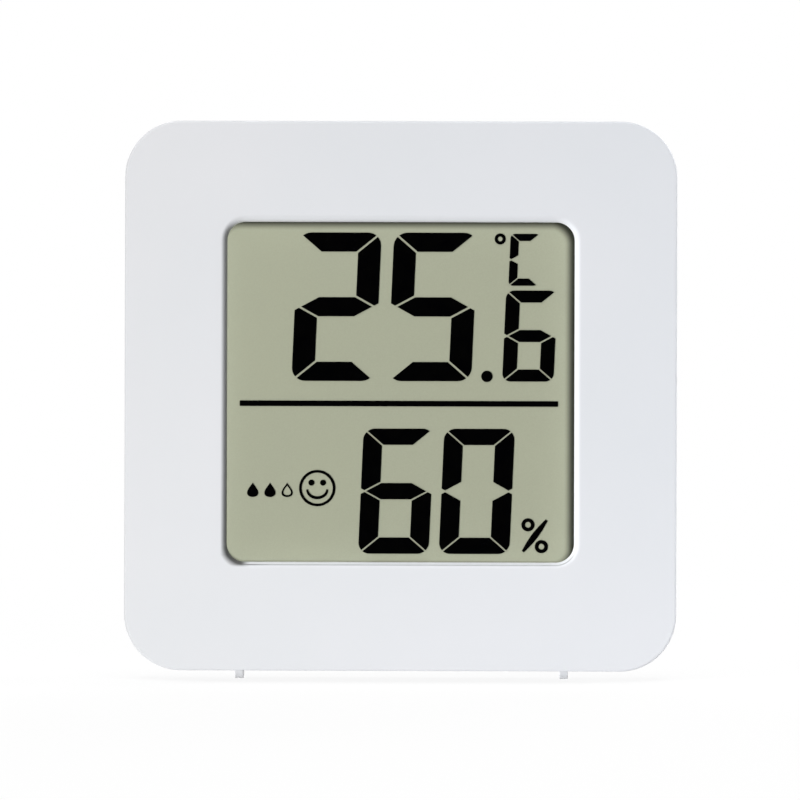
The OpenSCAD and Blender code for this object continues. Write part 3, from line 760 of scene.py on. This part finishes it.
def digit_segments(height, gap):
    """The seven segments of an upright digit, as shares of its height, cut from one rounded outline."""
    spare = gap / height / 2
    spread = SEGMENT_SPREAD / height
    corner = (DIGIT_HALF_WIDTH + spread, DIGIT_HALF_HEIGHT + spread)
    bar = DIGIT_BAR + 2 * spread
    outline = rounded_outline(*corner, DIGIT_CORNER)
    waist = (DIGIT_HALF_WIDTH - WAIST_INSET, 0.0)
    inner_top = (0.0, corner[1] - bar)
    inner_side = (corner[0] - DIGIT_POST - 2 * spread, 0.0)
    top = clip(outline, inner_top, (0, 1), 0)
    top = clip(top, corner, (-DIGIT_BAR, DIGIT_POST), spare)
    top = clip(top, (-corner[0], corner[1]), (DIGIT_BAR, DIGIT_POST), spare)
    post = clip(outline, inner_side, (1, 0), 0)
    post = clip(post, corner, (DIGIT_BAR, -DIGIT_POST), spare)
    post = clip(post, waist, (WAIST_SLOPE, 1), spare)
    post = clip(post, waist, (-WAIST_SLOPE, 1), spare)
    middle = clip(outline, (0, bar / 2), (0, -1), 0)
    middle = clip(middle, (0, -bar / 2), (0, 1), 0)
    for sign in (1, -1):
        end = (sign * waist[0], 0)
        middle = clip(middle, end, (-sign * WAIST_SLOPE, 1), spare)
        middle = clip(middle, end, (-sign * WAIST_SLOPE, -1), spare)

    def mirrored(shape, sign_x, sign_z):
        return [(sign_x * x, sign_z * z) for x, z in shape]

    return {
        "a": top,
        "b": post,
        "c": mirrored(post, 1, -1),
        "d": mirrored(top, 1, -1),
        "e": mirrored(post, -1, -1),
        "f": mirrored(post, -1, 1),
        "g": middle,
    }


def add_digit(plates, sign, centre, height, gap=SEGMENT_GAP):
    segments = digit_segments(height, gap)
    for letter in DIGITS[sign]:
        plates.plate([
            (centre[0] + height * (x + DIGIT_LEAN * z), centre[1] + height * z)
            for x, z in segments[letter]
        ])


def tapered_strip(plates, points, widths):
    """A stroke along a line of points, with its own width at each."""
    upper = []
    lower = []
    for i, (x, z) in enumerate(points):
        before = points[max(i - 1, 0)]
        after = points[min(i + 1, len(points) - 1)]
        run = (after[0] - before[0], after[1] - before[1])
        size = math.hypot(*run)
        across = (-run[1] / size * widths[i] / 2, run[0] / size * widths[i] / 2)
        upper.append((x + across[0], z + across[1]))
        lower.append((x - across[0], z - across[1]))
    plates.strip(upper, lower)


def new_ink():
    return Plates(ink_front, ink_back, case_middle)


def keep_ink(plates, name):
    plates.piece(name, ink_look, "case", "black_epoxy")


# Sizes and places on the display are in millimetres, the places from the case's middle
TEMPERATURE_HEIGHT = 11.52
TEMPERATURE_ROW = 6.957
TEMPERATURE_TENS_COLUMN = -5.045
TEMPERATURE_ONES_COLUMN = 2.46
POINT_CENTRE = (6.710, 1.550)
POINT_RADIUS = 0.445
TENTHS_HEIGHT = 7.035
TENTHS_CENTRE = (10.05, 4.705)

temperature = new_ink()
tens_centre = (TEMPERATURE_TENS_COLUMN, TEMPERATURE_ROW)
ones_centre = (TEMPERATURE_ONES_COLUMN, TEMPERATURE_ROW)
add_digit(temperature, "2", tens_centre, TEMPERATURE_HEIGHT, LARGE_SEGMENT_GAP)
add_digit(temperature, "5", ones_centre, TEMPERATURE_HEIGHT, LARGE_SEGMENT_GAP)
temperature.plate(circle(POINT_CENTRE, POINT_RADIUS))
add_digit(temperature, "6", TENTHS_CENTRE, TENTHS_HEIGHT)
keep_ink(temperature, "temperature_digits")

UNIT_HEIGHT = 3.987
UNIT_CENTRE = (9.603, 10.655)
DEGREE_CENTRE = (7.716, 12.277)
DEGREE_OUTER_RADIUS = 0.432
DEGREE_INNER_RADIUS = 0.185

unit_sign = new_ink()
add_digit(unit_sign, "C", UNIT_CENTRE, UNIT_HEIGHT, SMALL_SEGMENT_GAP)
unit_sign.ring(circle(DEGREE_CENTRE, DEGREE_OUTER_RADIUS), circle(DEGREE_CENTRE, DEGREE_INNER_RADIUS))
keep_ink(unit_sign, "temperature_unit")

DIVIDER_WIDTH = 24.857
DIVIDER_HEIGHT = 0.438
DIVIDER_CORNER = 0.06
DIVIDER_STEPS = 3
DIVIDER_COLUMN = -0.156
DIVIDER_ROW = -0.594

divider = new_ink()
divider_outline = rounded_outline(DIVIDER_WIDTH / 2, DIVIDER_HEIGHT / 2, DIVIDER_CORNER, DIVIDER_STEPS)
divider.plate([(x + DIVIDER_COLUMN, z + DIVIDER_ROW) for x, z in divider_outline])
keep_ink(divider, "display_divider")

HUMIDITY_HEIGHT = 9.70
HUMIDITY_ROW = -7.43
HUMIDITY_TENS_COLUMN = -0.356
HUMIDITY_ONES_COLUMN = 5.945

humidity = new_ink()
add_digit(humidity, "6", (HUMIDITY_TENS_COLUMN, HUMIDITY_ROW), HUMIDITY_HEIGHT)
add_digit(humidity, "0", (HUMIDITY_ONES_COLUMN, HUMIDITY_ROW), HUMIDITY_HEIGHT)
keep_ink(humidity, "humidity_digits")

STROKE_STEPS = 16

PERCENT_RING_CENTRES = ((9.945, -10.025), (10.995, -11.725))
PERCENT_OUTER_RADIUS = 0.515
PERCENT_INNER_RADIUS = 0.225
SLASH_START = Vector((9.55, -12.12))
SLASH_END = Vector((11.41, -9.65))
SLASH_END_WIDTH = 0.2
SLASH_SWELL = 0.29

percent = new_ink()
for ring_centre in PERCENT_RING_CENTRES:
    percent.ring(circle(ring_centre, PERCENT_OUTER_RADIUS), circle(ring_centre, PERCENT_INNER_RADIUS))
slash_points = [SLASH_START.lerp(SLASH_END, i / STROKE_STEPS) for i in range(STROKE_STEPS + 1)]
slash_widths = [
    SLASH_END_WIDTH + SLASH_SWELL * math.sin(math.pi * i / STROKE_STEPS) for i in range(STROKE_STEPS + 1)
]
tapered_strip(percent, slash_points, slash_widths)
keep_ink(percent, "humidity_unit")

FACE_CENTRE = (-6.51, -7.21)
FACE_RADIUS = 1.42
FACE_STROKE = 0.21
FACE_STEPS = 64
EYE_SIDE = 0.453
EYE_RISE = 0.43
EYE_RADIUS = 0.235
EYE_STEPS = 32
MOUTH_HALF_WIDTH = 0.78
MOUTH_TOP = 0.1
MOUTH_DEPTH = 0.65
MOUTH_END_WIDTH = 0.16
MOUTH_SWELL = 0.08

face = new_ink()
face_inside = circle(FACE_CENTRE, FACE_RADIUS - FACE_STROKE, FACE_STEPS)
face.ring(circle(FACE_CENTRE, FACE_RADIUS, FACE_STEPS), face_inside)
for side in (-1, 1):
    eye_centre = (FACE_CENTRE[0] + side * EYE_SIDE, FACE_CENTRE[1] + EYE_RISE)
    face.plate(circle(eye_centre, EYE_RADIUS, EYE_STEPS))
mouth_points = []
mouth_widths = []
for i in range(STROKE_STEPS + 1):
    turn = math.pi * (i / STROKE_STEPS - 0.5)
    mouth_points.append((
        FACE_CENTRE[0] + MOUTH_HALF_WIDTH * math.sin(turn),
        FACE_CENTRE[1] - MOUTH_TOP - MOUTH_DEPTH * math.cos(turn),
    ))
    mouth_widths.append(MOUTH_END_WIDTH + MOUTH_SWELL * math.cos(turn))
tapered_strip(face, mouth_points, mouth_widths)
keep_ink(face, "comfort_face")

DROP_HEIGHT = 1.13
DROP_WIDTH = 0.81
DROP_FULLNESS = 0.77
DROP_SHARPNESS = 1.5
DROP_STEPS = 40
DROP_ROW = -7.35
DROP_COLUMNS = (-11.55, -10.2)
HOLLOW_DROP_COLUMN = -8.86
HOLLOW_SCALE = 0.68
HOLLOW_SINK = 0.03


def drop_outline(centre, scale=1.0):
    """A water drop, pointed at the top."""
    points = []
    for i in range(DROP_STEPS):
        turn = 2 * math.pi * i / DROP_STEPS
        x = DROP_WIDTH * DROP_FULLNESS * math.sin(turn) * math.sin(turn / 2) ** DROP_SHARPNESS
        z = DROP_HEIGHT / 2 * math.cos(turn)
        points.append((centre[0] + scale * x, centre[1] + scale * z))
    return points


drops = new_ink()
for column in DROP_COLUMNS:
    drops.plate(drop_outline((column, DROP_ROW)))
hollow = drop_outline((HOLLOW_DROP_COLUMN, DROP_ROW - HOLLOW_SINK), HOLLOW_SCALE)
drops.ring(drop_outline((HOLLOW_DROP_COLUMN, DROP_ROW)), hollow)
keep_ink(drops, "humidity_drops")


# Two raised turning arrows on the battery door, in millimetres apart from their lift and sink
door_low, door_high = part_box("battery_door")
door_middle = (door_low + door_high) / 2
ARROW_RADIUS = 8.2
ARROW_WIDTH = 0.7
ARROW_HEAD = 1.9
ARROW_SWEEP = math.radians(55)
ARROW_STARTS = (math.radians(215), math.radians(35))
ARROW_LIFT = 0.06 * MM
ARROW_SINK = 0.04 * MM
ARROW_STEPS = 24


def arrow_outline(start):
    """An arc with a pointed head, as points round the door's middle."""
    turns = [start + ARROW_SWEEP * (1 - i / ARROW_STEPS) for i in range(ARROW_STEPS + 1)]
    outer = [(ARROW_RADIUS + ARROW_WIDTH / 2, turn) for turn in turns]
    inner = [(ARROW_RADIUS - ARROW_WIDTH / 2, turn) for turn in turns]
    head = [
        (ARROW_RADIUS + ARROW_HEAD / 2, start),
        (ARROW_RADIUS, start - ARROW_HEAD / ARROW_RADIUS),
        (ARROW_RADIUS - ARROW_HEAD / 2, start),
    ]
    return [(reach * math.cos(turn), reach * math.sin(turn)) for reach, turn in outer + head + inner[::-1]]


arrows = Plates(door_high.y + ARROW_LIFT, door_high.y - ARROW_SINK, door_middle)
for start in ARROW_STARTS:
    arrows.plate(arrow_outline(start))
arrows.piece("door_arrow", slot_looks["case_plastic"], "battery_door", "case_plastic")


# Stage
# The floor, in metres, and the shares of plain white in what it shows and of light that it gives back
FLOOR_HALF = 4.0
FLOOR_NEAR = 0.08
FLOOR_FAR = 0.3
FLOOR_SHOWN = 0.88
FLOOR_BOUNCE = 0.15

# The world's light on the object
AMBIENT = (0.06, 0.06, 0.06, 1.0)


def ray_share(nodes, links):
    """1 for rays that show the background: from the camera, off gloss and through glass."""
    path = nodes.new("ShaderNodeLightPath")
    shown = path.outputs["Is Camera Ray"]
    for name in ("Is Glossy Ray", "Is Transmission Ray"):
        larger = nodes.new("ShaderNodeMath")
        larger.operation = "MAXIMUM"
        links.new(shown, larger.inputs[0])
        links.new(path.outputs[name], larger.inputs[1])
        shown = larger.outputs[0]
    return shown


def make_floor():
    """A white floor that takes shadows near the part and runs into the background far from it."""
    mesh = bpy.data.meshes.new("floor")
    signs = ((-1, -1), (1, -1), (1, 1), (-1, 1))
    corners = [(sign_x * FLOOR_HALF, sign_y * FLOOR_HALF, 0) for sign_x, sign_y in signs]
    mesh.from_pydata(corners, [], [(0, 1, 2, 3)])
    floor = bpy.data.objects.new("floor", mesh)
    bpy.context.scene.collection.objects.link(floor)
    look = Look("floor")
    shown = ray_share(look.nodes, look.links)
    tone = look.span(shown, 0.0, 1.0, FLOOR_BOUNCE, 1.0)
    diffuse = look.nodes.new("ShaderNodeBsdfDiffuse")
    look.put(look.vector(tone, tone, tone), diffuse.inputs["Color"])
    plain = look.nodes.new("ShaderNodeEmission")
    plain.inputs["Color"].default_value = WHITE
    far = look.span(look.length(look.x, look.y), FLOOR_NEAR / MM, FLOOR_FAR / MM, FLOOR_SHOWN, 1.0)
    mix = look.nodes.new("ShaderNodeMixShader")
    look.put(look.calc("MULTIPLY", shown, far), mix.inputs[0])
    look.links.new(diffuse.outputs[0], mix.inputs[1])
    look.links.new(plain.outputs[0], mix.inputs[2])
    look.links.new(mix.outputs[0], look.nodes["Material Output"].inputs["Surface"])
    look.nodes.remove(look.shader)
    mesh.materials.append(look.material)
    return floor


def make_world():
    world = bpy.data.worlds.new("studio")
    bpy.context.scene.world = world
    world.use_nodes = True
    nodes = world.node_tree.nodes
    links = world.node_tree.links
    background = nodes["Background"]
    color = nodes.new("ShaderNodeMix")
    color.data_type = "RGBA"
    color.inputs[MIX_FIRST].default_value = AMBIENT
    color.inputs[MIX_SECOND].default_value = WHITE
    links.new(ray_share(nodes, links), color.inputs[MIX_SHARE])
    links.new(color.outputs[MIX_RESULT], background.inputs["Color"])
    background.inputs["Strength"].default_value = 1.0


floor = make_floor()
make_world()

WARM = (1.0, 0.995, 0.985)
COOL = (0.94, 0.97, 1.0)
PLAIN = (1.0, 1.0, 1.0)


def softbox(name, azimuth, elevation, distance, width, height, power, color=PLAIN):
    """A lamp that faces the case, in degrees and metres. Azimuth 0 is in front, 90 on the right."""
    turn = math.radians(azimuth)
    rise = math.radians(elevation)
    away = Vector((math.sin(turn) * math.cos(rise), -math.cos(turn) * math.cos(rise), math.sin(rise)))
    data = bpy.data.lights.new(name, "AREA")
    data.shape = "RECTANGLE"
    data.size = width
    data.size_y = height
    data.energy = power
    data.color = color
    lamp = bpy.data.objects.new(name, data)
    bpy.context.scene.collection.objects.link(lamp)
    lamp.location = case_middle + away * distance
    lamp.rotation_euler = (-away).to_track_quat("-Z", "Y").to_euler()
    lamp.visible_camera = False
    lamp.visible_glossy = False
    return lamp


def shine_past(lamp, *objects):
    """Keeps some objects, such as the walls of the display's opening, from casting this lamp's shadow."""
    group = bpy.data.collections.new(lamp.name + "_past")
    for blocker in objects:
        group.objects.link(blocker)
    lamp.light_linking.blocker_collection = group
    for link in group.collection_objects:
        link.light_linking.link_state = "EXCLUDE"


# The key is a tall strip whose lower half stands for its reflection in the floor
key = softbox(
    "key", azimuth=-48, elevation=-10, distance=1.8, width=0.5, height=1.8, power=42.5, color=WARM
)
fill = softbox(
    "fill", azimuth=25, elevation=3, distance=0.9, width=0.5, height=0.5, power=0.2, color=COOL
)
top = softbox("top", azimuth=0, elevation=80, distance=0.8, width=0.5, height=0.5, power=4.4)
softbox("side_right", azimuth=97, elevation=8, distance=0.9, width=0.2, height=0.4, power=7.2)
softbox("side_left", azimuth=-135, elevation=10, distance=0.9, width=0.4, height=0.4, power=0.3)
softbox("back", azimuth=175, elevation=14, distance=0.9, width=0.5, height=0.5, power=5.0)

front_case = frame["nodes"]["front_case"]
shine_past(key, front_case, floor)
shine_past(fill, front_case)
shine_past(top, front_case)

bpy.context.scene.view_settings.view_transform = "Standard"
